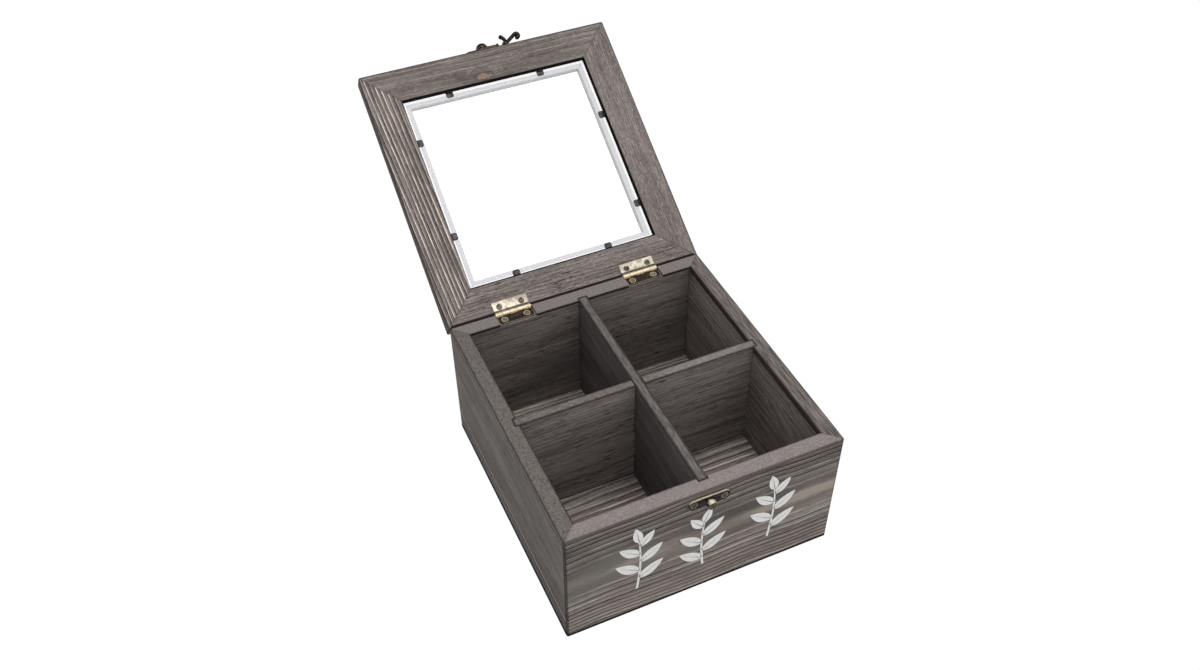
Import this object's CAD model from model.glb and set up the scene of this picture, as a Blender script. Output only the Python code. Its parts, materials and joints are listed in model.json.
import json
import math
import bmesh
import bpy
from mathutils import Matrix, Vector


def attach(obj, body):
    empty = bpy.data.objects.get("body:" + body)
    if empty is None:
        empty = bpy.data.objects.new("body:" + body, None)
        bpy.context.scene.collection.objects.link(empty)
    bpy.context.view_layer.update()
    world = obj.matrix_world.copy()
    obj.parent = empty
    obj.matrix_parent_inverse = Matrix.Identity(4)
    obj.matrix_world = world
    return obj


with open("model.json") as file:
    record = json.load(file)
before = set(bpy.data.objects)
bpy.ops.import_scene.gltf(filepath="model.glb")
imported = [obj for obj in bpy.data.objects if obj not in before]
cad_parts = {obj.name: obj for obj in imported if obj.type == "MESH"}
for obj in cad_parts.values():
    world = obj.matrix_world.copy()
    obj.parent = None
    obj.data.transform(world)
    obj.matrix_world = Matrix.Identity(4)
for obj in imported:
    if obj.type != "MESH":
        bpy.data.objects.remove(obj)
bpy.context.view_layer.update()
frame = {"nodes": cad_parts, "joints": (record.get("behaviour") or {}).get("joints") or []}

# ------------------------------------------------------------------ sizes

MM = 0.001
JOINTS = {joint["name"]: joint for joint in frame["joints"]}
HINGE_AXIS = Vector(JOINTS["lid_hinge"]["pos_m"])
HOOK_AXIS = Vector(JOINTS["hook_swing"]["axis"])
# the lid rests open: this turn about the hinge, read from how the hook's axis leans, brings it
# back onto the rim
OPEN_TURN = math.pi - math.atan2(-HOOK_AXIS.z, -HOOK_AXIS.y)
CLOSE_LID = (
    Matrix.Translation(HINGE_AXIS)
    @ Matrix.Rotation(OPEN_TURN, 4, "X")
    @ Matrix.Translation(-HINGE_AXIS)
)

# ------------------------------------------------------------------ camera

CAMERA_TARGET = Vector((-6.6, 38.8, 94.1)) * MM
CAMERA_DISTANCE = 712.8 * MM
CAMERA_AZIMUTH = math.radians(-24.21)  # 0 looks along +Y
CAMERA_ELEVATION = math.radians(43.83)
CAMERA_ROLL = math.radians(-0.345)
CAMERA_LENS = 35.81


def add_camera():
    """The camera stands in front of the case, to its left and above it."""
    level = math.cos(CAMERA_ELEVATION)
    forward = Vector((
        -math.sin(CAMERA_AZIMUTH) * level,
        math.cos(CAMERA_AZIMUTH) * level,
        -math.sin(CAMERA_ELEVATION),
    ))
    right = forward.cross(Vector((0, 0, 1))).normalized()
    right = Matrix.Rotation(-CAMERA_ROLL, 3, forward) @ right
    up = right.cross(forward)
    turn = Matrix((right, up, -forward)).transposed()
    data = bpy.data.cameras.new("camera")
    data.sensor_width = 36
    data.lens = CAMERA_LENS
    data.clip_start = 0.01
    camera = bpy.data.objects.new("camera", data)
    camera.matrix_world = (
        Matrix.Translation(CAMERA_TARGET - forward * CAMERA_DISTANCE) @ turn.to_4x4()
    )
    bpy.context.scene.collection.objects.link(camera)
    bpy.context.scene.camera = camera


# ------------------------------------------------------------------ stage and light levels

WORLD_LIGHT = 0.74
FLOOR_HALF = 6.0
FLOOR_GLOW = 0.1
SEEN_WHITE = 1.02  # surroundings as the camera sees them
SEEN_WHITE_IN_GLASS = 1.09
TOP_POWER = 11.0
FRONT_POWER = 3.6
BEDDING_GLOW = 0.92  # pale surroundings that shine through the strips

# ------------------------------------------------------------------ shader building

def node(tree, kind, inputs=None, **settings):
    """Adds a node. inputs maps a socket's name or number to a value or to an output."""
    made = tree.nodes.new(kind)
    for key, value in settings.items():
        setattr(made, key, value)
    for key, value in (inputs or {}).items():
        if isinstance(value, bpy.types.NodeSocket):
            tree.links.new(value, made.inputs[key])
        else:
            made.inputs[key].default_value = value
    return made


def maths(tree, operation, a, b=0.0):
    """One Math node; returns its output."""
    return node(tree, "ShaderNodeMath", {0: a, 1: b}, operation=operation).outputs[0]


def times(tree, a, b):
    """Product of two values."""
    return maths(tree, "MULTIPLY", a, b)


def smooth_step(tree, value, low, high, to_low=0.0, to_high=1.0):
    """Smooth change from to_low to to_high as value goes from low to high."""
    return node(tree, "ShaderNodeMapRange",
                {0: value, 1: low, 2: high, 3: to_low, 4: to_high},
                interpolation_type="SMOOTHSTEP").outputs[0]


def mix(tree, amount, a, b, blend="MIX"):
    """Mixes two colours; returns the colour output."""
    return node(tree, "ShaderNodeMix", {0: amount, 6: a, 7: b}, data_type="RGBA",
                blend_type=blend).outputs[2]


def noise(tree, vector, scale, detail=4.0, roughness=0.5, distortion=0.0):
    """Noise value of a vector; returns the value output."""
    return node(tree, "ShaderNodeTexNoise",
                {"Vector": vector, "Scale": scale, "Detail": detail,
                 "Roughness": roughness, "Distortion": distortion}).outputs[0]


def vector_maths(tree, operation, a, b=(0, 0, 0)):
    """One Vector Math node; returns its vector output."""
    return node(tree, "ShaderNodeVectorMath", {0: a, 1: b}, operation=operation).outputs[0]


def stretched(tree, vector, along, across):
    """The vector scaled along the grain and across it, for streaks that follow the grain."""
    return vector_maths(tree, "MULTIPLY", vector, (along, across, across))


def scaled(tree, vector, amount):
    """A vector or a colour times a number."""
    return node(tree, "ShaderNodeVectorMath", {0: vector, "Scale": amount},
                operation="SCALE").outputs[0]


def length_of(tree, vector):
    """Length of a vector."""
    return node(tree, "ShaderNodeVectorMath", {0: vector}, operation="LENGTH").outputs[1]


def dot_product(tree, a, b):
    """Dot product of two vectors."""
    return node(tree, "ShaderNodeVectorMath", {0: a, 1: b}, operation="DOT_PRODUCT").outputs[1]


def part_of(tree, vector, axis):
    """One of the three parts of a vector."""
    return node(tree, "ShaderNodeSeparateXYZ", {0: vector}).outputs[axis]


def lay_over(tree, colour, mask, strength, tint):
    """Lays a tint over a colour, as strongly as mask times strength."""
    return mix(tree, times(tree, mask, strength), colour, tint)


def pulse(tree, value, rise, fall):
    """0, then 1, then 0 again as value passes first rise and then fall, both (from, to)."""
    return times(tree, smooth_step(tree, value, *rise), smooth_step(tree, value, *fall, 1.0, 0.0))


NOISE_SPAN = 4.0  # noise strays about a quarter from its middle: this makes it about 1


def shift_from(tree, value, amount):
    """A noise value turned into a shift of about amount to either side."""
    return times(tree, maths(tree, "SUBTRACT", value, 0.5), times(tree, amount, NOISE_SPAN))


def millimetres(tree):
    """Object coordinates in millimetres."""
    return scaled(tree, tree.nodes.new("ShaderNodeTexCoord").outputs["Object"], 1 / MM)


def new_group(name, inputs, outputs):
    """An empty shader node group. inputs maps names to (socket type, default)."""
    tree = bpy.data.node_groups.new(name, "ShaderNodeTree")
    for title, (kind, default) in inputs.items():
        socket = tree.interface.new_socket(title, in_out="INPUT", socket_type=kind)
        socket.default_value = default
    for title, kind in outputs.items():
        tree.interface.new_socket(title, in_out="OUTPUT", socket_type=kind)
    return tree, tree.nodes.new("NodeGroupInput"), tree.nodes.new("NodeGroupOutput")


FLOAT = "NodeSocketFloat"
VECTOR = "NodeSocketVector"


def place_group(tree, group, inputs):
    """Places a node group in a material with its own values."""
    placed = tree.nodes.new("ShaderNodeGroup")
    placed.node_tree = group
    for key, value in inputs.items():
        if isinstance(value, bpy.types.NodeSocket):
            tree.links.new(value, placed.inputs[key])
        else:
            placed.inputs[key].default_value = value
    return placed


# where in one growth ring the pale ridge and the dark line come up and go down
RIDGE_RISE, RIDGE_FALL = (0.28, 0.50), (0.58, 0.68)
LINE_RISE, LINE_FALL = (0.64, 0.74), (0.88, 1.0)
CALM_FLANK = 0.27


def growth_rings_group():
    """Growth rings of a plank: circles about a pith that runs along the plank.

    Ridge is the hard pale late wood, Line the dark line that ends each ring, Tone a level that
    goes from ring to ring, and Steep how steeply the face cuts the rings: 0 where it lies flat
    on them. Both Ridge and Line are weaker where Steep is below Calm."""
    tree, given, result = new_group("growth_rings", {
        "Vector": (VECTOR, (0, 0, 0)),
        "Pith": (VECTOR, (0, 0, 0)),
        "Tilt": (VECTOR, (0, 0, 0)),
        "Spacing": (FLOAT, 2.4),
        "Wander": (FLOAT, 3.0),
        "Ripple": (FLOAT, 0.8),
        "Push": (FLOAT, 0.0),
        "Bend": (FLOAT, 0.0),
        "Calm": (FLOAT, 0.15),
    }, {"Ridge": FLOAT, "Line": FLOAT, "Tone": FLOAT, "Steep": FLOAT})
    vector = given.outputs["Vector"]
    along = part_of(tree, vector, 0)
    drift = scaled(tree, given.outputs["Tilt"], along)
    from_pith = vector_maths(tree, "SUBTRACT", vector, given.outputs["Pith"])
    from_pith = vector_maths(tree, "SUBTRACT", from_pith, drift)
    sway = noise(tree, stretched(tree, vector, 0.013, 0.003), 1.0, 1.0)
    sway = shift_from(tree, sway, given.outputs["Bend"])
    sway = node(tree, "ShaderNodeCombineXYZ", {1: sway}).outputs[0]
    from_pith = vector_maths(tree, "ADD", from_pith, sway)
    flat = vector_maths(tree, "MULTIPLY", from_pith, (0, 1, 1))
    beside = part_of(tree, from_pith, 1)
    radius = length_of(tree, flat)
    steep = maths(tree, "DIVIDE", maths(tree, "ABSOLUTE", beside), radius)
    slow = noise(tree, stretched(tree, vector, 0.009, 0.03), 1.0, 1.0)
    quick = noise(tree, stretched(tree, vector, 0.05, 0.16), 1.0, 2.0)
    for value, amount in ((slow, given.outputs["Wander"]), (quick, given.outputs["Ripple"])):
        radius = maths(tree, "ADD", radius, shift_from(tree, value, amount))
    radius = maths(tree, "ADD", radius, given.outputs["Push"])
    ring = maths(tree, "DIVIDE", radius, given.outputs["Spacing"])
    phase = maths(tree, "FRACT", ring)
    number = maths(tree, "FLOOR", ring)
    chance = node(tree, "ShaderNodeTexWhiteNoise", {"W": number}, noise_dimensions="1D").outputs[0]
    fade = noise(tree, stretched(tree, vector, 0.03, 0.2), 1.0, 3.0, 0.7)
    fade = smooth_step(tree, fade, 0.38, 0.62, 0.25, 1.0)
    ridge = times(tree, fade, smooth_step(tree, chance, 0.0, 0.8, 0.3, 1.0))
    ridge = times(tree, pulse(tree, phase, RIDGE_RISE, RIDGE_FALL), ridge)
    line = smooth_step(tree, chance, 0.2, 1.0, 1.0, 0.45)
    line = times(tree, pulse(tree, phase, LINE_RISE, LINE_FALL), line)
    calm = given.outputs["Calm"]
    calm_end = maths(tree, "ADD", calm, CALM_FLANK)
    line = times(tree, line, smooth_step(tree, steep, calm, calm_end, 0.15, 1.0))
    ridge = times(tree, ridge, smooth_step(tree, steep, calm, calm_end, 0.6, 1.0))
    along_ring = node(tree, "ShaderNodeCombineXYZ",
                      {0: times(tree, ring, 0.45), 1: times(tree, along, 0.006)}).outputs[0]
    tone = noise(tree, along_ring, 1.0, 2.0, 0.6)
    tree.links.new(ridge, result.inputs["Ridge"])
    tree.links.new(line, result.inputs["Line"])
    tree.links.new(tone, result.inputs["Tone"])
    tree.links.new(steep, result.inputs["Steep"])
    return tree


def knot_group():
    """One knot in a board, also used for plain stained spots.

    Heart and Rim are masks of the knot and of its dark ring, Push is how far the growth rings
    are moved aside, and Smoke is a mask of the darker wood beside the knot."""
    tree, given, result = new_group("knot", {
        "Vector": (VECTOR, (0, 0, 0)),
        "Centre": (VECTOR, (0, 0, 0)),
        "Size": (VECTOR, (5, 3, 20)),
    }, {"Heart": FLOAT, "Rim": FLOAT, "Push": FLOAT, "Smoke": FLOAT})
    offset = vector_maths(tree, "SUBTRACT", given.outputs["Vector"], given.outputs["Centre"])
    wander = node(tree, "ShaderNodeTexNoise",
                  {"Vector": given.outputs["Vector"], "Scale": 0.45, "Detail": 3.0}).outputs[1]
    wander = vector_maths(tree, "SUBTRACT", wander, (0.5, 0.5, 0.5))
    wander = vector_maths(tree, "MULTIPLY", wander, (9.0, 4.0, 0.0))
    ragged = vector_maths(tree, "ADD", offset, wander)
    squeezed = vector_maths(tree, "DIVIDE", ragged, given.outputs["Size"])
    distance = length_of(tree, squeezed)
    heart = smooth_step(tree, distance, 0.45, 1.05, 1.0, 0.0)
    rim = pulse(tree, distance, (0.7, 1.0), (1.0, 1.5))
    push = smooth_step(tree, distance, 0.6, 3.6, 1.0, 0.0)
    beside = vector_maths(tree, "ADD", squeezed, (1.9, 0.6, 0))
    beside = vector_maths(tree, "MULTIPLY", beside, (0.55, 0.6, 0.5))
    smoke = smooth_step(tree, length_of(tree, beside), 0.2, 1.1, 1.0, 0.0)
    for value, title in ((heart, "Heart"), (rim, "Rim"), (push, "Push"), (smoke, "Smoke")):
        tree.links.new(value, result.inputs[title])
    return tree


def wood_fibres_group():
    """Fibres of planed softwood: dark pores as short dashes, pale streaks, fuzz and flecks."""
    tree, given, result = new_group("wood_fibres", {"Vector": (VECTOR, (0, 0, 0))},
                                    {"Pores": FLOAT, "Streaks": FLOAT, "Fuzz": FLOAT,
                                     "Flecks": FLOAT})
    vector = given.outputs["Vector"]
    dashes = noise(tree, stretched(tree, vector, 0.11, 1.25), 1.0, 2.0, 0.6)
    few = smooth_step(tree, noise(tree, vector, 0.05, 2.0), 0.35, 0.6, 0.3, 1.0)
    pores = times(tree, smooth_step(tree, dashes, 0.57, 0.66), few)
    lines = noise(tree, stretched(tree, vector, 0.018, 0.8), 1.0, 3.0, 0.7)
    streaks = smooth_step(tree, lines, 0.50, 0.66)
    fuzz = noise(tree, stretched(tree, vector, 0.30, 1.6), 1.0, 3.0, 0.75)
    specks = noise(tree, stretched(tree, vector, 0.32, 2.1), 1.0, 1.0, 0.6)
    flecks = smooth_step(tree, specks, 0.62, 0.72)
    tree.links.new(pores, result.inputs["Pores"])
    tree.links.new(streaks, result.inputs["Streaks"])
    tree.links.new(fuzz, result.inputs["Fuzz"])
    tree.links.new(flecks, result.inputs["Flecks"])
    return tree


PATCH_SIZE = 25.0


def stain_group():
    """Unevenly taken wood stain: broad cloudy patches drawn out along the grain."""
    tree, given, result = new_group("stain_patches", {"Vector": (VECTOR, (0, 0, 0))},
                                    {"Patch": FLOAT})
    cloud = noise(tree, stretched(tree, given.outputs["Vector"], 0.4, 1.0), 1 / PATCH_SIZE,
                  4.0, 0.55, 0.4)
    tree.links.new(smooth_step(tree, cloud, 0.34, 0.66), result.inputs["Patch"])
    return tree


def board_edges_group():
    """Masks of a board's arrises and of its mitres, from its half size.

    Outer Side points across the board to the long edge that its mitres widen to."""
    tree, given, result = new_group("board_edges", {
        "Vector": (VECTOR, (0, 0, 0)),
        "Half Size": (VECTOR, (1, 1, 1)),
        "Outer Side": (VECTOR, (0, 0, 0)),
        "Edge Width": (FLOAT, 1.0),
        "Joint Width": (FLOAT, 0.25),
    }, {"Edge": FLOAT, "Joint": FLOAT})
    vector = given.outputs["Vector"]
    size = vector_maths(tree, "ABSOLUTE", vector)
    gap = vector_maths(tree, "SUBTRACT", given.outputs["Half Size"], size)
    gaps = node(tree, "ShaderNodeSeparateXYZ", {0: gap})
    low = maths(tree, "MINIMUM", gaps.outputs[0], gaps.outputs[1])
    high = maths(tree, "MAXIMUM", gaps.outputs[0], gaps.outputs[1])
    second = maths(tree, "MAXIMUM", low, maths(tree, "MINIMUM", high, gaps.outputs[2]))
    edge = smooth_step(tree, second, 0.0, given.outputs["Edge Width"], 1.0, 0.0)
    side = vector_maths(tree, "ABSOLUTE", given.outputs["Outer Side"])
    reach = dot_product(tree, given.outputs["Half Size"], side)
    place = dot_product(tree, vector, given.outputs["Outer Side"])
    depth = maths(tree, "SUBTRACT", reach, place)
    to_mitre = maths(tree, "ABSOLUTE", maths(tree, "SUBTRACT", gaps.outputs[0], depth))
    joint = smooth_step(tree, to_mitre, 0.0, given.outputs["Joint Width"], 1.0, 0.0)
    tree.links.new(edge, result.inputs["Edge"])
    tree.links.new(joint, result.inputs["Joint"])
    return tree


BAND_FLANK = 0.3


def face_band(tree, place, axis, low, high):
    """1 on the part of a board whose place on one of its axes runs from low to high."""
    return pulse(tree, part_of(tree, place, axis), (low, low + BAND_FLANK),
                 (high - BAND_FLANK, high))


def patina_group():
    """Patina of small cast and stamped fittings: blotches, fine pits and rubbed high spots."""
    tree, given, result = new_group("patina", {
        "Vector": (VECTOR, (0, 0, 0)),
        "Size": (FLOAT, 1.5),
    }, {"Blotch": FLOAT, "Pits": FLOAT, "Brushed": FLOAT})
    vector = given.outputs["Vector"]
    scale = maths(tree, "DIVIDE", 1.0, given.outputs["Size"])
    blotch = noise(tree, vector, scale, 5.0, 0.6, 0.3)
    pits = noise(tree, vector, times(tree, scale, 6.0), 3.0, 0.7)
    brushed = noise(tree, stretched(tree, vector, 0.25, 9.0), 1.0, 2.0)
    tree.links.new(smooth_step(tree, blotch, 0.38, 0.62), result.inputs["Blotch"])
    tree.links.new(smooth_step(tree, pits, 0.55, 0.75), result.inputs["Pits"])
    tree.links.new(brushed, result.inputs["Brushed"])
    return tree


def rubbed_edges_group():
    """Mask of the arrises within a radius, found from how a bevel would turn the surface."""
    tree, given, result = new_group("rubbed_edges", {"Radius": (FLOAT, 0.0003)}, {"Edge": FLOAT})
    bevel = node(tree, "ShaderNodeBevel", {"Radius": given.outputs["Radius"]}, samples=6)
    normal = tree.nodes.new("ShaderNodeNewGeometry").outputs["Normal"]
    turn = dot_product(tree, bevel.outputs[0], normal)
    tree.links.new(smooth_step(tree, turn, 0.86, 0.99, 1.0, 0.0), result.inputs["Edge"])
    return tree


GROWTH_RINGS = growth_rings_group()
KNOT = knot_group()
WOOD_FIBRES = wood_fibres_group()
STAIN_PATCHES = stain_group()
BOARD_EDGES = board_edges_group()
PATINA = patina_group()
RUBBED_EDGES = rubbed_edges_group()


def new_material(name):
    """An empty material with a Principled shader; returns (material, tree, shader)."""
    material = bpy.data.materials.new(name)
    material.use_nodes = True
    tree = material.node_tree
    return material, tree, tree.nodes["Principled BSDF"]


def cover(node_name, material):
    """Gives a CAD node one material."""
    mesh = frame["nodes"][node_name].data
    mesh.materials.clear()
    mesh.materials.append(material)
    for face in mesh.polygons:
        face.material_index = 0


# ------------------------------------------------------------------ stained pine

X, Y, Z = Vector((1, 0, 0)), Vector((0, 1, 0)), Vector((0, 0, 1))


def board_frame(node_name, grain, across, on_lid):
    """How a board lies: the mapping to its own millimetres, and its half size.

    The board's own axes are along the grain, across the face and through it."""
    axes = Matrix((grain, across, grain.cross(across))).to_4x4()
    turn = Matrix.Scale(1 / MM, 4) @ axes @ (CLOSE_LID if on_lid else Matrix.Identity(4))
    corners = [turn @ vertex.co for vertex in frame["nodes"][node_name].data.vertices]
    low = Vector([min(corner[i] for corner in corners) for i in range(3)])
    high = Vector([max(corner[i] for corner in corners) for i in range(3)])
    return Matrix.Translation(-(low + high) / 2) @ turn, (high - low) / 2


def mapped(tree, matrix):
    """Object coordinates through a rigid matrix with one scale."""
    place, turn, scale = matrix.decompose()
    coordinates = tree.nodes.new("ShaderNodeTexCoord").outputs["Object"]
    return node(tree, "ShaderNodeMapping",
                {"Vector": coordinates, "Location": place, "Rotation": turn.to_euler(),
                 "Scale": scale}).outputs[0]


STAINED = (0.139, 0.117, 0.111)
STAINED_PATCH = (0.178, 0.152, 0.143)
DARK_LINE = (0.036, 0.030, 0.027, 1)
DARK_PORE = (0.026, 0.021, 0.018, 1)
PALE_RIDGE = (0.36, 0.31, 0.262, 1)
FLAT_CUT_RIDGE = (0.27, 0.225, 0.178, 1)
PALE_FLECK = (0.42, 0.385, 0.36, 1)
KNOT_HEART = (0.25, 0.175, 0.133, 1)
KNOT_SMOKE = (0.075, 0.070, 0.064, 1)
WOOD_SHEEN = 0.06
WOOD_GAIN = 1.13  # the last step of every board's colour
SEED_STEP = Vector((431.0, 17.0, 0.0))  # moves the fibres and patches for each seed
TOP_BLEND = 1.0  # half the height over which a board's face turns into its top edge
FACE_DEPTH, FACE_LIFT = 0.4, 1.0  # how far a line on one face reaches into the board, and out


def face_lines(tree, colour, place, half, bands):
    """Draws lines along a board: (low, high, face, strength, colour), in mm across the grain.

    face is 0 for a line on every side of the board, 1 or -1 for one that is only on the face of
    that sign, and 2 or -2 for one that only keeps off the other face. Returns the colour, and
    the board's sheen, which goes out in the lines: dark gaps don't shine."""
    sheen = WOOD_SHEEN
    for low, high, face, strength, tint in bands:
        amount = times(tree, face_band(tree, place, 1, low, high), strength)
        if face:
            own = 1 if face > 0 else -1
            start = own if abs(face) == 1 else -own
            depths = sorted((start * (half[2] - FACE_DEPTH), own * (half[2] + FACE_LIFT)))
            amount = times(tree, amount, face_band(tree, place, 2, *depths))
        colour = mix(tree, amount, colour, (*tint, 1))
        sheen = times(tree, maths(tree, "SUBTRACT", 1.0, amount), sheen)
    return colour, sheen


def top_edge(tree, colour, place, shifted, half, tone, grain_look, shade):
    """Gives a board's top edge its own tone, with grain of (stretch along, contrast)."""
    stretch, contrast = grain_look
    top = face_band(tree, place, 1, half[1] - TOP_BLEND, half[1] + TOP_BLEND)
    grain = noise(tree, stretched(tree, shifted, stretch, 1.5), 1.0, 2.0, 0.7)
    level = smooth_step(tree, grain, 0.36, 0.64, (1 - contrast) * shade, (1 + contrast) * shade)
    return mix(tree, top, colour, scaled(tree, tone, level))


def stained_pine(node_name, grain, across, on_lid=False, outer=(0, 0, 0), body=STAINED,
                 patch=STAINED_PATCH, ridge_colour=PALE_RIDGE, pith=(0, 0, 30), tilt=(0, 0, 0),
                 spacing=2.6, wander=3.0, ripple=0.7, bend=0.0, calm=0.15, ridge=0.5, line=0.6,
                 streaks=0.3, pores=0.5, flecks=0.5, fuzz=0.16, tones=(0.62, 1.25), shade=1.0,
                 fall=None, rim=None, rim_grain=(0.8, 0.24), edge_width=1.0, bands=(), spots=(),
                 knot=None, seed=0):
    """Grey-brown stained pine for one board, with the grain along its length.

    pith, tilt, spacing, wander, ripple, bend and calm shape the growth rings. ridge, line,
    streaks, pores, flecks and fuzz are strengths, and tones and shade are levels. fall is
    (from, to, level, level) over the board's height, spots are (centre, size, strength, colour)
    and knot is (centre, size, push)."""
    material, tree, shader = new_material(node_name + "_pine")
    matrix, half = board_frame(node_name, grain, across, on_lid)
    place = mapped(tree, matrix)
    shifted = vector_maths(tree, "ADD", place, seed * SEED_STEP)
    ring = place_group(tree, GROWTH_RINGS, {
        "Vector": place, "Pith": pith, "Tilt": tilt, "Spacing": spacing, "Wander": wander,
        "Ripple": ripple, "Bend": bend, "Calm": calm})
    if knot:
        centre, size, push = knot
        eye = place_group(tree, KNOT, {"Vector": place, "Centre": centre, "Size": size})
        tree.links.new(times(tree, eye.outputs["Push"], push), ring.inputs["Push"])
    fibre = place_group(tree, WOOD_FIBRES, {"Vector": shifted})
    stain = place_group(tree, STAIN_PATCHES, {"Vector": shifted})
    edges = place_group(tree, BOARD_EDGES, {
        "Vector": place, "Half Size": half, "Outer Side": outer, "Edge Width": edge_width})

    colour = mix(tree, stain.outputs["Patch"], (*body, 1), (*patch, 1))
    colour = scaled(tree, colour, smooth_step(tree, ring.outputs["Tone"], 0.34, 0.66, *tones))
    late_wood = mix(tree, smooth_step(tree, ring.outputs["Steep"], 0.15, 0.45),
                    FLAT_CUT_RIDGE, ridge_colour)
    colour = lay_over(tree, colour, ring.outputs["Ridge"], ridge, late_wood)
    colour = lay_over(tree, colour, fibre.outputs["Streaks"], streaks, ridge_colour)
    dark = times(tree, ring.outputs["Line"], line)
    colour = mix(tree, dark, colour, DARK_LINE)
    hole = times(tree, fibre.outputs["Pores"], pores)
    colour = mix(tree, hole, colour, DARK_PORE)
    light = smooth_step(tree, fibre.outputs["Fuzz"], 0.3, 0.7,
                        (1 - fuzz) * shade, (1 + fuzz) * shade)
    if fall:
        light = times(tree, light, smooth_step(tree, part_of(tree, place, 1), *fall))
    colour = scaled(tree, colour, light)
    colour = lay_over(tree, colour, fibre.outputs["Flecks"], flecks, PALE_FLECK)
    if rim:
        colour = top_edge(tree, colour, place, shifted, half, rim, rim_grain, shade)
    colour, sheen = face_lines(tree, colour, place, half, bands)
    for centre, size, strength, tint in spots:
        mark = place_group(tree, KNOT, {"Vector": place, "Centre": centre, "Size": size})
        colour = lay_over(tree, colour, mark.outputs["Heart"], strength, (*tint, 1))
    if knot:
        colour = lay_over(tree, colour, eye.outputs["Smoke"], 0.55, KNOT_SMOKE)
        mottled = smooth_step(tree, fibre.outputs["Fuzz"], 0.35, 0.6, 0.35, 0.95)
        colour = lay_over(tree, colour, eye.outputs["Heart"], mottled, KNOT_HEART)
        colour = lay_over(tree, colour, eye.outputs["Rim"], 0.5, DARK_LINE)
    worn = smooth_step(tree, fibre.outputs["Fuzz"], 0.3, 0.6, 0.7, 1.0)
    colour = lay_over(tree, colour, edges.outputs["Edge"], worn, DARK_PORE)
    if any(outer):
        colour = lay_over(tree, colour, edges.outputs["Joint"], 0.85, DARK_PORE)
    tree.links.new(scaled(tree, colour, WOOD_GAIN), shader.inputs["Base Color"])

    rough = smooth_step(tree, fibre.outputs["Fuzz"], 0.2, 0.8, 0.5, 0.75)
    tree.links.new(rough, shader.inputs["Roughness"])
    if bands:
        tree.links.new(sheen, shader.inputs["Specular IOR Level"])
    else:
        shader.inputs["Specular IOR Level"].default_value = sheen
    height = maths(tree, "SUBTRACT", fibre.outputs["Fuzz"], hole)
    height = maths(tree, "ADD", height, times(tree, ring.outputs["Ridge"], 0.8))
    height = maths(tree, "SUBTRACT", height, dark)
    bump = node(tree, "ShaderNodeBump",
                {"Height": height, "Strength": 0.5, "Distance": 0.15 * MM})
    tree.links.new(bump.outputs[0], shader.inputs["Normal"])
    cover(node_name, material)


# tones of the top edges, the lid's sides, open gaps and the lip inside the lid's window
RIM_TONE = (0.19, 0.166, 0.158)
DARK_SIDE = (0.050, 0.044, 0.040)
BLACK_GAP = (0.012, 0.010, 0.009)
LIP_EDGE = (0.46, 0.45, 0.465)
PALE_GROOVE = (0.27, 0.245, 0.225)

# millimetres across the grain from the middle of a wall, which is 88 high, or of a rail
RAIL_HALF = 13.5
REBATE_PLACE = 8.5
FOOT_LINE = (-44.6, -40.9, 0, 0.95, BLACK_GAP)


def rim_line(face):
    """Dark line along the top of a wall's inner face, under the eased arris."""
    return (42.2, 43.9, face, 0.95, BLACK_GAP)


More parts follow.
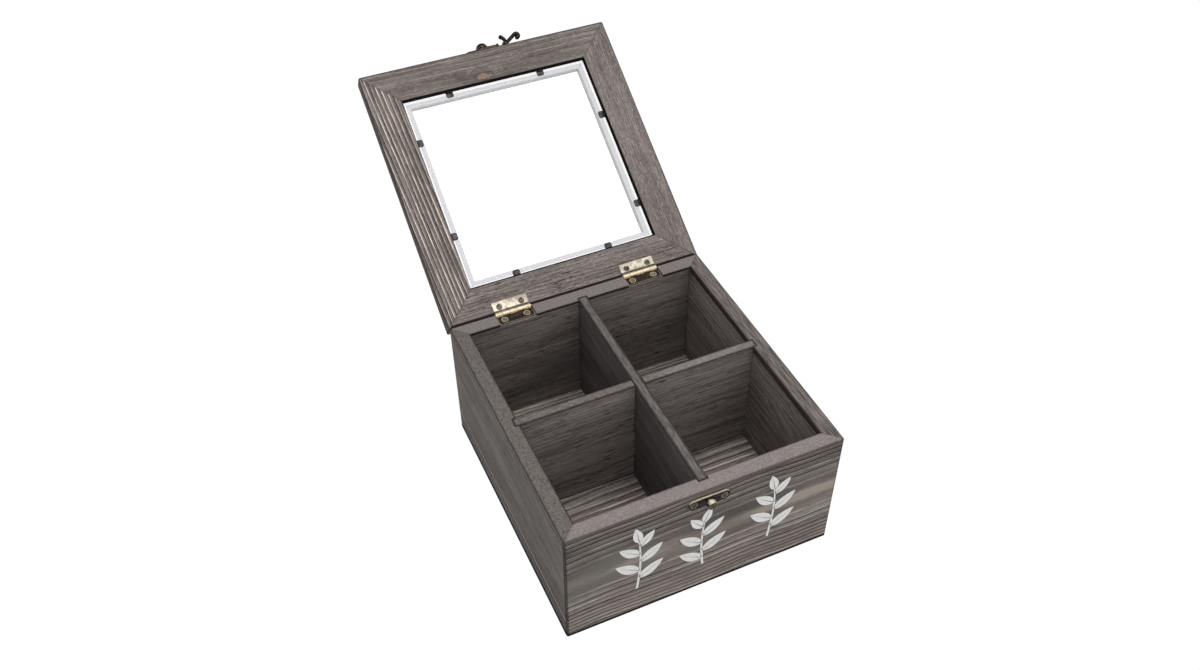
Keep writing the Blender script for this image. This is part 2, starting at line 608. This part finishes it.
def dress_case():
    """Case walls, bottom board and dividers."""
    stained_pine("front_wall", X, Z, outer=(0, 0, 1), pith=(0, 6, -34), bend=3.6,
                 spacing=2.35, wander=0.45, ripple=0.16, ridge=1.0, line=1.0, streaks=0.15,
                 fall=(-14.0, 27.0, 1.0, 0.66), edge_width=1.5, flecks=0.12, calm=0.27,
                 body=(0.116, 0.102, 0.094), patch=(0.160, 0.141, 0.126), tones=(0.72, 1.36),
                 ridge_colour=(0.40, 0.34, 0.30, 1), rim=(0.198, 0.172, 0.165), shade=1.03,
                 bands=(FOOT_LINE, rim_line(-1), (42.2, 44.3, 1, 0.5, DARK_SIDE)),
                 rim_grain=(0.8, 0.17),
                 spots=(((-55, 6, 5), (36, 17, 8), 0.4, (0.148, 0.138, 0.122)),
                        ((60, 7.5, 5), (44, 5.5, 8), 0.62, (0.30, 0.26, 0.22)),
                        ((-40, 5, 5), (24, 3.6, 8), 0.4, (0.27, 0.235, 0.20)),
                        ((0, -30, 5), (95, 9, 8), 0.16, (0.26, 0.19, 0.18))), seed=1)
    stained_pine("back_wall", X, Z, outer=(0, 0, -1), pith=(0, -8, 30), spacing=2.6, wander=1.8,
                 ridge=0.15, line=0.3, pores=1.0, flecks=0.25, shade=0.91, rim=RIM_TONE,
                 tones=(0.7, 1.25), bands=(FOOT_LINE, rim_line(1)),
                 spots=(((35, 20.5, 5), (7.5, 3.0, 8), 0.6, (0.19, 0.15, 0.125)),), seed=2)
    # a scored line runs along the foot of the left wall, pale above and dark below
    stained_pine("left_wall", Y, Z, outer=(0, 0, -1), pith=(0, -30, -70), spacing=6.0, ridge=0.12,
                 line=0.2, streaks=0.12, pores=0.8, flecks=0.2, shade=0.68, tones=(0.8, 1.15),
                 body=(0.136, 0.120, 0.109), patch=(0.176, 0.157, 0.142), fuzz=0.24,
                 rim=(0.175, 0.154, 0.143), rim_grain=(0.9, 0.27), edge_width=1.5,
                 bands=((-44.6, -39.4, 0, 1.0, BLACK_GAP), rim_line(1),
                        (38.6, 40.4, -1, 0.45, BLACK_GAP),
                        (-29.8, -27.9, -1, 0.9, PALE_GROOVE),
                        (-31.6, -29.8, -1, 0.6, BLACK_GAP)), seed=3)
    stained_pine("right_wall", Y, Z, outer=(0, 0, 1), pith=(0, 4, 26), spacing=2.2, ridge=0.5,
                 streaks=0.5, rim=(0.115, 0.101, 0.094), shade=1.05, tones=(0.75, 1.2),
                 rim_grain=(0.06, 0.5), edge_width=1.5,
                 bands=(FOOT_LINE, (39.6, 44.6, -1, 0.8, BLACK_GAP)), seed=4)
    stained_pine("base_panel", X, Y, pith=(0, 10, -60), spacing=1.9, wander=0.8, ripple=0.15,
                 ridge=1.0, line=0.9, streaks=0.4, body=(0.12, 0.103, 0.094),
                 patch=(0.185, 0.16, 0.143), ridge_colour=(0.62, 0.535, 0.475, 1), calm=0.0,
                 tones=(0.7, 1.3), shade=1.07,
                 spots=(((-40, -44, 0), (52, 48, 30), 0.12, (0.55, 0.48, 0.42)),), seed=5)
    stained_pine("long_divider", Y, Z, pith=(0, -60, 30), spacing=3.0, ridge=0.06, line=0.1,
                 streaks=0.12, pores=0.15, flecks=0.1, tones=(0.75, 1.2), shade=0.58,
                 body=(0.134, 0.121, 0.119), patch=(0.190, 0.172, 0.170),
                 rim=(0.196, 0.176, 0.166),
                 rim_grain=(0.15, 0.35), edge_width=2.0, bands=(rim_line(-1),), seed=6)
    stained_pine("cross_divider", X, Z, pith=(0, -10, 22), spacing=2.4, ridge=0.25, line=0.45,
                 pores=1.0, flecks=0.25, shade=1.26, rim=(0.103, 0.090, 0.085),
                 rim_grain=(0.45, 0.34), edge_width=1.6, tones=(0.75, 1.2),
                 spots=(((44, 40, 0), (42, 3, 8), 0.3, (0.30, 0.265, 0.25)),), seed=7)


def window_lines(side, under, spread=0.3):
    """The dark wall of a rail's rebate, and the pale edge of its lip towards the window.

    side is the sign of the rail's outer edge across its board, and under that of its underside
    through the board. Neither line is on the lid's upper face."""
    rebate = -side * REBATE_PLACE
    lip = sorted((-side * (RAIL_HALF - 0.3), -side * (RAIL_HALF + 0.9)))
    return ((rebate - spread, rebate + spread, 2 * under, 1.0, BLACK_GAP),
            (*lip, 2 * under, 1.0, LIP_EDGE))


def side_line(side):
    """The darker outer side of a lid rail."""
    outer = side * RAIL_HALF
    return (outer - 0.45, outer + 0.45, 0, 0.78, DARK_SIDE)


# the lid's underside along the hinges, where it comes down to the rim
HINGE_SHADE = (RAIL_HALF - 2.7, RAIL_HALF + 2.7, -1, 0.95, BLACK_GAP)


def dress_lid_frame():
    """The four rails of the lid."""
    stained_pine("lid_front_rail", X, Y, on_lid=True, outer=(0, -1, 0), pith=(0, 8, 22),
                 spacing=1.9, wander=0.9, ripple=0.25, ridge=0.6, line=0.42, tones=(0.8, 1.15),
                 flecks=0.5, fuzz=0.22, shade=0.85, bands=(side_line(-1), *window_lines(-1, -1)),
                 knot=((-6.5, 5, -5), (6.2, 2.6, 12), 3.0), seed=8)
    stained_pine("lid_back_rail", X, Y, on_lid=True, outer=(0, 1, 0), pith=(0, -20, 18),
                 spacing=1.5, wander=1.0, ripple=0.3, ridge=0.45, line=0.4, pores=0.9, shade=0.92,
                 flecks=0.7, fuzz=0.32, tones=(0.8, 1.2),
                 bands=(HINGE_SHADE, *window_lines(1, -1, 0.9)), seed=9)
    stained_pine("lid_left_rail", Y, X, on_lid=True, outer=(0, -1, 0), pith=(0, 26, 26),
                 tilt=(0, 0.05, 0), spacing=2.2, wander=0.4, ripple=0.12, ridge=1.0, line=0.9,
                 streaks=0.25, ridge_colour=(0.72, 0.62, 0.54, 1), tones=(0.70, 1.12), shade=0.9,
                 bands=(side_line(-1), *window_lines(-1, 1)), seed=10)
    stained_pine("lid_right_rail", Y, X, on_lid=True, outer=(0, 1, 0), pith=(0, -30, 20),
                 spacing=1.6, wander=1.0, ridge=0.2, line=0.3, flecks=0.7, fuzz=0.30, shade=0.95,
                 tones=(0.85, 1.15), bands=(side_line(1), *window_lines(1, 1)), seed=11)


# ------------------------------------------------------------------ metal, glass, bedding

KNUCKLE_BRASS = (0.76, 0.64, 0.47, 1)
KNUCKLE_GAP = (0.035, 0.029, 0.022, 1)
# distances from the hinge axis, in mm, over which a leaf turns from knuckle to gap to flat
KNUCKLE_END = (1.55, 1.75)
GAP_END = (2.6, 3.2)


def knuckle_tones(tree, colour, place):
    """Bright knuckles and a dark gap beside them on a hinge leaf."""
    across = vector_maths(tree, "SUBTRACT", place, HINGE_AXIS / MM)
    across = length_of(tree, vector_maths(tree, "MULTIPLY", across, (0, 1, 1)))
    colour = mix(tree, smooth_step(tree, across, *GAP_END, 0.9, 0.0), colour, KNUCKLE_GAP)
    return mix(tree, smooth_step(tree, across, *KNUCKLE_END, 1.0, 0.0), colour, KNUCKLE_BRASS)


def aged_metal(name, nodes, colour, dark, size=1.5, roughness=0.38, cover_up=0.7, rim=0.5,
               rim_colour=None, rim_width=0.3, top=0.0, pits=0.7, knuckles=False):
    """Plated or cast metal: its colour, under a dark patina in blotches of a size in mm.

    rim is how far the arrises are rubbed back to rim_colour over rim_width, and top how far the
    faces that look up are. knuckles is set for hinge leaves."""
    material, tree, shader = new_material(name)
    place = millimetres(tree)
    patina = place_group(tree, PATINA, {"Vector": place, "Size": size})
    bright = (*(rim_colour or colour), 1)
    shade = lay_over(tree, (*colour, 1), patina.outputs["Blotch"], cover_up, (*dark, 1))
    shade = lay_over(tree, shade, patina.outputs["Pits"], pits, (*dark, 1))
    edge = place_group(tree, RUBBED_EDGES, {"Radius": rim_width * MM}).outputs["Edge"]
    shade = lay_over(tree, shade, edge, rim, bright)
    if knuckles:
        shade = knuckle_tones(tree, shade, place)
    if top:
        normal = tree.nodes.new("ShaderNodeTexCoord").outputs["Normal"]
        upward = smooth_step(tree, part_of(tree, normal, 2), 0.35, 0.85, 0.0, top)
        shade = mix(tree, upward, shade, bright)
    tree.links.new(shade, shader.inputs["Base Color"])
    shader.inputs["Metallic"].default_value = 1.0
    rough = smooth_step(tree, patina.outputs["Blotch"], 0.0, 1.0, roughness, roughness + 0.18)
    tree.links.new(rough, shader.inputs["Roughness"])
    height = maths(tree, "SUBTRACT", times(tree, patina.outputs["Brushed"], 0.4),
                   patina.outputs["Pits"])
    bump = node(tree, "ShaderNodeBump",
                {"Height": height, "Strength": 0.25, "Distance": 0.04 * MM})
    tree.links.new(bump.outputs[0], shader.inputs["Normal"])
    for node_name in nodes:
        cover(node_name, material)


def dress_fittings():
    """Hinges, screws, latch and catch."""
    aged_metal("pale_brass", ["left_hinge_lid_leaf", "right_hinge_lid_leaf"],
               (0.52, 0.465, 0.39), (0.36, 0.31, 0.25), 4.2, 0.45, 0.7, 0.7,
               rim_colour=(0.82, 0.74, 0.60), pits=0.1, knuckles=True)
    aged_metal("hinge_bronze", ["left_hinge_box_leaf", "right_hinge_box_leaf"],
               (0.065, 0.054, 0.041), (0.03, 0.025, 0.02), 4.0, 0.5, 0.7, 1.0,
               rim_colour=(0.86, 0.75, 0.56), rim_width=0.45, pits=0.1, knuckles=True)
    aged_metal("pin_brass", ["left_hinge_pin", "right_hinge_pin"],
               (0.6, 0.5, 0.34), (0.2, 0.16, 0.1), 1.0)
    aged_metal("screw_brass", ["box_hinge_screws"],
               (0.05, 0.043, 0.033), (0.02, 0.017, 0.014), 3.0, 0.5, 0.8, 1.0,
               rim_colour=(0.95, 0.84, 0.62), rim_width=0.45, pits=0.1)
    aged_metal("dark_screw_brass", ["lid_hinge_screws"],
               (0.16, 0.145, 0.10), (0.06, 0.053, 0.038), 3.0, 0.5, 0.8, 0.6,
               rim_colour=(0.30, 0.26, 0.19), rim_width=0.3, pits=0.1)
    aged_metal("dark_bronze", ["catch_plate"],
               (0.026, 0.024, 0.021), (0.010, 0.009, 0.008), 3.0, 0.5, 0.6, 0.5,
               rim_colour=(0.92, 0.82, 0.64), top=1.0, pits=0.1)
    aged_metal("latch_bronze", ["latch_plate", "latch_hook", "latch_pivot"],
               (0.04, 0.031, 0.024), (0.010, 0.008, 0.006), 1.6, 0.32, 0.75, 0.6,
               rim_colour=(0.50, 0.38, 0.27), pits=0.3)
    aged_metal("latch_screw_bronze", ["catch_screws", "latch_screws"],
               (0.03, 0.026, 0.022), (0.012, 0.010, 0.008), 2.0, 0.4, 0.8, 0.8,
               rim_colour=(0.60, 0.53, 0.42), pits=0.1)
    aged_metal("post_brass", ["catch_post"],
               (0.085, 0.077, 0.065), (0.04, 0.035, 0.028), 3.0, 0.4, 0.6, 0.5,
               rim_colour=(0.95, 0.86, 0.64), top=1.0, pits=0.1)
    aged_metal("dark_steel", ["glazing_points"],
               (0.09, 0.09, 0.095), (0.04, 0.04, 0.042), 2.0, 0.5, 0.5, 1.0,
               rim_colour=(0.006, 0.006, 0.007), rim_width=0.9, pits=0.1)


CLEAR_TINT = (0.985, 0.992, 0.99, 1)
SHADOW_TINT = (0.97, 0.98, 0.975, 1)


def dress_glass():
    """Clear glass pane that lets the light of the lamps through."""
    material, tree, shader = new_material("clear_glass")
    shader.inputs["Base Color"].default_value = CLEAR_TINT
    shader.inputs["Transmission Weight"].default_value = 1.0
    shader.inputs["IOR"].default_value = 1.12
    shader.inputs["Roughness"].default_value = 0.0
    clear = node(tree, "ShaderNodeBsdfTransparent", {0: SHADOW_TINT})
    lamp_rays = tree.nodes.new("ShaderNodeLightPath").outputs["Is Shadow Ray"]
    both = node(tree, "ShaderNodeMixShader",
                {0: lamp_rays, 1: shader.outputs[0], 2: clear.outputs[0]})
    tree.links.new(both.outputs[0], tree.nodes["Material Output"].inputs["Surface"])
    cover("glass_pane", material)


# the pale strips, in millimetres of the closed lid
GLASS_HALF = (63.0, 65.5)
STRIP_SHIFT = (-0.4, 0.4, 0)  # their pale edge shows wider at the back and on the left
PALE_EDGE = (-1.3, -1.0)
INNER_EDGE = (-4.3, -3.9)
STRIP_TONE = (0.68, 0.67, 0.70, 1)
PALE_TONE = (1, 1, 1, 1)
INNER_TONE = (0.50, 0.49, 0.505, 1)
STRIP_SCATTER = (0.08, 0.08, 0.08, 1)


def dress_bedding():
    """The strips that the glass is bedded on: translucent, with a pale outer edge."""
    material, tree, shader = new_material("bedding_strip")
    place = mapped(tree, Matrix.Scale(1 / MM, 4) @ CLOSE_LID)
    size = vector_maths(tree, "ABSOLUTE", vector_maths(tree, "ADD", place, STRIP_SHIFT))
    past = node(tree, "ShaderNodeSeparateXYZ",
                {0: vector_maths(tree, "SUBTRACT", size, (*GLASS_HALF, 0))})
    past = maths(tree, "MAXIMUM", past.outputs[0], past.outputs[1])
    shade = mix(tree, smooth_step(tree, past, *PALE_EDGE), STRIP_TONE, PALE_TONE)
    shade = mix(tree, smooth_step(tree, past, *INNER_EDGE, 1.0, 0.0), shade, INNER_TONE)
    # the strips touch the glass, so some rays pass their front and meet the inside of their
    # back: most of their light shines through them, to look the same on either side
    inside = tree.nodes.new("ShaderNodeNewGeometry").outputs["Backfacing"]
    glow = smooth_step(tree, inside, 0.0, 1.0, BEDDING_GLOW, 1.0)
    tree.links.new(glow, shader.inputs["Emission Strength"])
    tree.links.new(shade, shader.inputs["Emission Color"])
    scatter = mix(tree, 1.0, shade, STRIP_SCATTER, "MULTIPLY")
    tree.links.new(scatter, shader.inputs["Base Color"])
    shader.inputs["Roughness"].default_value = 0.8
    shader.inputs["Specular IOR Level"].default_value = 0.1
    cover("glass_bedding", material)


# ------------------------------------------------------------------ painted sprigs

PAINT_LIFT = 0.02 * MM
PAINT_THICKNESS = 0.05 * MM
FRONT_FACE = min(vertex.co.y for vertex in frame["nodes"]["front_wall"].data.vertices)
RIB_WIDTH = 0.56
STEM_SHARE = 0.86  # the stem's end, as a share of the sprig's height
STEM_STEPS = 12
STEM_WIDTHS = (1.5, 0.9)


def leaf_outline(length, width, bend, steps=14):
    """Both halves of a pointed leaf along +X, with a bare midrib between them."""
    halves = []
    for side in (1, -1):
        outer, inner = [], []
        for i in range(steps + 1):
            t = i / steps
            swell = math.sin(math.pi * t ** 0.8) ** 0.85 * width / 2
            sag = bend * t * t
            rib = RIB_WIDTH / 2 * (1 - t)
            outer.append(Vector((length * t, sag + side * max(swell, rib), 0)))
            inner.append(Vector((length * t, sag + side * rib, 0)))
        half = outer + inner[-2:0:-1]
        halves.append(half if side > 0 else half[::-1])
    return halves


def stem_outline(points, thick, thin):
    """A tapered stroke through points, as one outline."""
    left, right = [], []
    last = len(points) - 1
    for i, point in enumerate(points):
        along = (points[min(i + 1, last)] - points[max(i - 1, 0)]).normalized()
        half_width = (thick + (thin - thick) * i / last) / 2
        side = Vector((-along.y, along.x, 0)) * half_width
        left.append(point + side)
        right.append(point - side)
    return right + left[::-1]


def stem_point(height, lean, t):
    """A point of a gently curved stem of a given height, t from 0 at its foot to 1."""
    return Vector((lean * math.sin(math.pi * t), height * t, 0))


def sprig_outlines(height, lean, leaves):
    """Outlines of one sprig: its stem, and leaves at (place, angle, length, width, bend)."""
    stem = [stem_point(height, lean, STEM_SHARE * i / STEM_STEPS) for i in range(STEM_STEPS + 1)]
    outlines = [stem_outline(stem, *STEM_WIDTHS)]
    for place, angle, length, width, bend in leaves:
        turn = Matrix.Rotation(math.radians(angle), 4, "Z")
        foot = stem_point(height, lean, place)
        for half in leaf_outline(length, width, bend):
            outlines.append([foot + turn @ point for point in half])
    return outlines


SPRIGS = (
    # x of the foot, z of the foot, height, lean, leaves
    (-42.0, 22.0, 50.0, 1.8, (
        (0.20, 30, 18.0, 7.6, 1.5), (0.33, 150, 18.0, 7.6, -1.5), (0.49, 34, 17.0, 7.2, 1.5),
        (0.62, 148, 16.0, 6.8, -1.5), (0.77, 46, 13.5, 6.0, 1.2), (0.84, 98, 13.5, 5.8, 0.6))),
    (-0.5, 21.5, 47.0, -1.8, (
        (0.14, 152, 17.5, 7.4, -1.5), (0.28, 30, 18.0, 7.6, 1.5), (0.44, 148, 17.5, 7.4, -1.5),
        (0.58, 34, 17.0, 7.0, 1.5), (0.74, 134, 13.5, 6.0, -1.2), (0.82, 76, 12.5, 5.6, -0.6))),
    (41.5, 24.0, 50.0, 1.8, (
        (0.18, 30, 18.0, 7.6, 1.5), (0.32, 150, 18.0, 7.6, -1.5), (0.48, 34, 17.0, 7.2, 1.5),
        (0.61, 146, 16.5, 6.8, -1.5), (0.76, 44, 14.0, 6.0, 1.2), (0.84, 100, 13.5, 5.8, 0.6))),
)


def painted_outline(mesh, outline, foot_x, foot_z):
    """A thin solid layer of paint on the front wall, with the shape of an outline."""
    skins = []
    for lift in (PAINT_LIFT, PAINT_LIFT + PAINT_THICKNESS):
        skins.append([
            mesh.verts.new(((foot_x + point.x) * MM, FRONT_FACE - lift, (foot_z + point.y) * MM))
            for point in outline
        ])
    back, front = skins
    mesh.faces.new(front)
    mesh.faces.new(back[::-1])
    for i in range(len(outline)):
        j = (i + 1) % len(outline)
        mesh.faces.new((back[i], back[j], front[j], front[i]))


def off_white_paint():
    """Stencil paint, worn through in the pores of the wood."""
    material, tree, shader = new_material("off_white_paint")
    fibre = place_group(tree, WOOD_FIBRES, {"Vector": millimetres(tree)})
    colour = mix(tree, smooth_step(tree, fibre.outputs["Fuzz"], 0.3, 0.7),
                 (0.56, 0.56, 0.55, 1), (0.70, 0.70, 0.69, 1))
    colour = lay_over(tree, colour, fibre.outputs["Pores"], 0.25, (0.34, 0.33, 0.32, 1))
    tree.links.new(colour, shader.inputs["Base Color"])
    rough = smooth_step(tree, fibre.outputs["Fuzz"], 0.2, 0.8, 0.55, 0.7)
    tree.links.new(rough, shader.inputs["Roughness"])
    bump = node(tree, "ShaderNodeBump",
                {"Height": fibre.outputs["Fuzz"], "Strength": 0.3, "Distance": 0.08 * MM})
    tree.links.new(bump.outputs[0], shader.inputs["Normal"])
    return material


def add_painted_sprigs():
    """Three leafy sprigs stencilled on the front in off-white paint."""
    mesh = bmesh.new()
    for foot_x, foot_z, height, lean, leaves in SPRIGS:
        for outline in sprig_outlines(height, lean, leaves):
            painted_outline(mesh, outline, foot_x, foot_z)
    bmesh.ops.recalc_face_normals(mesh, faces=mesh.faces)
    data = bpy.data.meshes.new("painted_sprigs")
    mesh.to_mesh(data)
    mesh.free()
    data.materials.append(off_white_paint())
    piece = bpy.data.objects.new("painted_sprigs", data)
    bpy.context.scene.collection.objects.link(piece)
    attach(piece, "case")


# ------------------------------------------------------------------ surroundings

def seen_directly(tree):
    """Brightness of plain white surroundings, and a mask of the rays that see them so.

    Rays that went through the glass see them too, a little brighter for what it takes away."""
    rays = tree.nodes.new("ShaderNodeLightPath").outputs
    seen = maths(tree, "MAXIMUM", rays["Is Camera Ray"], rays["Is Transmission Ray"])
    white = smooth_step(tree, rays["Is Transmission Ray"], 0.0, 1.0,
                        SEEN_WHITE, SEEN_WHITE_IN_GLASS)
    return white, seen


def blend_levels(tree, amount, low, high):
    """low where amount is 0, high where it is 1."""
    return maths(tree, "ADD", times(tree, amount, high),
                 times(tree, maths(tree, "SUBTRACT", 1.0, amount), low))


def add_floor():
    """A plain white floor that runs out of sight."""
    mesh = bpy.data.meshes.new("floor")
    half = FLOOR_HALF
    mesh.from_pydata([(-half, -half, 0), (half, -half, 0), (half, half, 0), (-half, half, 0)],
                     [], [(0, 1, 2, 3)])
    floor = bpy.data.objects.new("floor", mesh)
    bpy.context.scene.collection.objects.link(floor)
    material, tree, shader = new_material("white_floor")
    white, seen = seen_directly(tree)
    tree.links.new(mix(tree, seen, (0.8, 0.8, 0.8, 1), (0, 0, 0, 1)), shader.inputs["Base Color"])
    shader.inputs["Roughness"].default_value = 0.9
    shader.inputs["Specular IOR Level"].default_value = 0.0
    shader.inputs["Emission Color"].default_value = (1, 1, 1, 1)
    tree.links.new(blend_levels(tree, seen, FLOOR_GLOW, white), shader.inputs["Emission Strength"])
    mesh.materials.append(material)


def add_light(name, place, target, size, power):
    """One square softbox that faces a target."""
    data = bpy.data.lights.new(name, "AREA")
    data.shape = "SQUARE"
    data.size = size
    data.energy = power
    light = bpy.data.objects.new(name, data)
    light.location = place
    light.rotation_euler = (Vector(target) - Vector(place)).to_track_quat("-Z", "Y").to_euler()
    bpy.context.scene.collection.objects.link(light)


def add_light_and_world():
    """Even pale surroundings, with a soft key from above and a fill from the right front."""
    world = bpy.data.worlds.new("studio")
    world.use_nodes = True
    tree = world.node_tree
    background = tree.nodes["Background"]
    background.inputs["Color"].default_value = (1, 1, 1, 1)
    white, seen = seen_directly(tree)
    tree.links.new(blend_levels(tree, seen, WORLD_LIGHT, white), background.inputs["Strength"])
    bpy.context.scene.world = world
    add_light("top_softbox", (0.1, -0.25, 1.7), (0, 0, 0.05), 1.0, TOP_POWER)
    add_light("front_softbox", (0.7, -1.4, 0.9), (0, 0, 0.08), 0.9, FRONT_POWER)
    bpy.context.scene.view_settings.view_transform = "Standard"


add_camera()
dress_case()
dress_lid_frame()
dress_fittings()
dress_glass()
dress_bedding()
add_painted_sprigs()
add_floor()
add_light_and_world()
